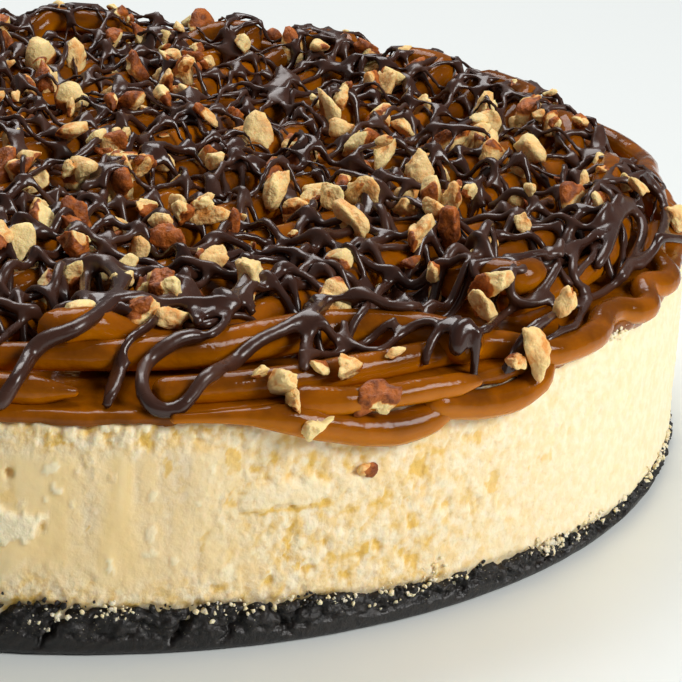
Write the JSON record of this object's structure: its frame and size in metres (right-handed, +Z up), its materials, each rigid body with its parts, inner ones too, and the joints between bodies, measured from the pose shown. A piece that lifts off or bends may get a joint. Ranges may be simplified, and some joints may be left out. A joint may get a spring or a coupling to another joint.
{
  "type": "baked cheesecake",
  "caption": "Whole round baked cheesecake on a dark crumb base, topped with piped caramel ropes, chopped pecans and chocolate drizzle.",
  "frame": {"origin": "centre of the base's flat underside, on the surface that the cake stands on", "axes": "+Z up along the cake's axis, -Y towards the viewer of the picture, +X to that viewer's right"},
  "size_m": [0.2307, 0.2305, 0.0528],
  "materials": {
    "crumb": "matte",
    "cheese": "matte",
    "caramel": "gloss",
    "chocolate": "satin",
    "pecan": "matte"
  },
  "bodies": {
    "root": {"crumb_base": "crumb", "cheese_filling": "cheese", "caramel_topping": "caramel"}
  },
  "joints": []
}
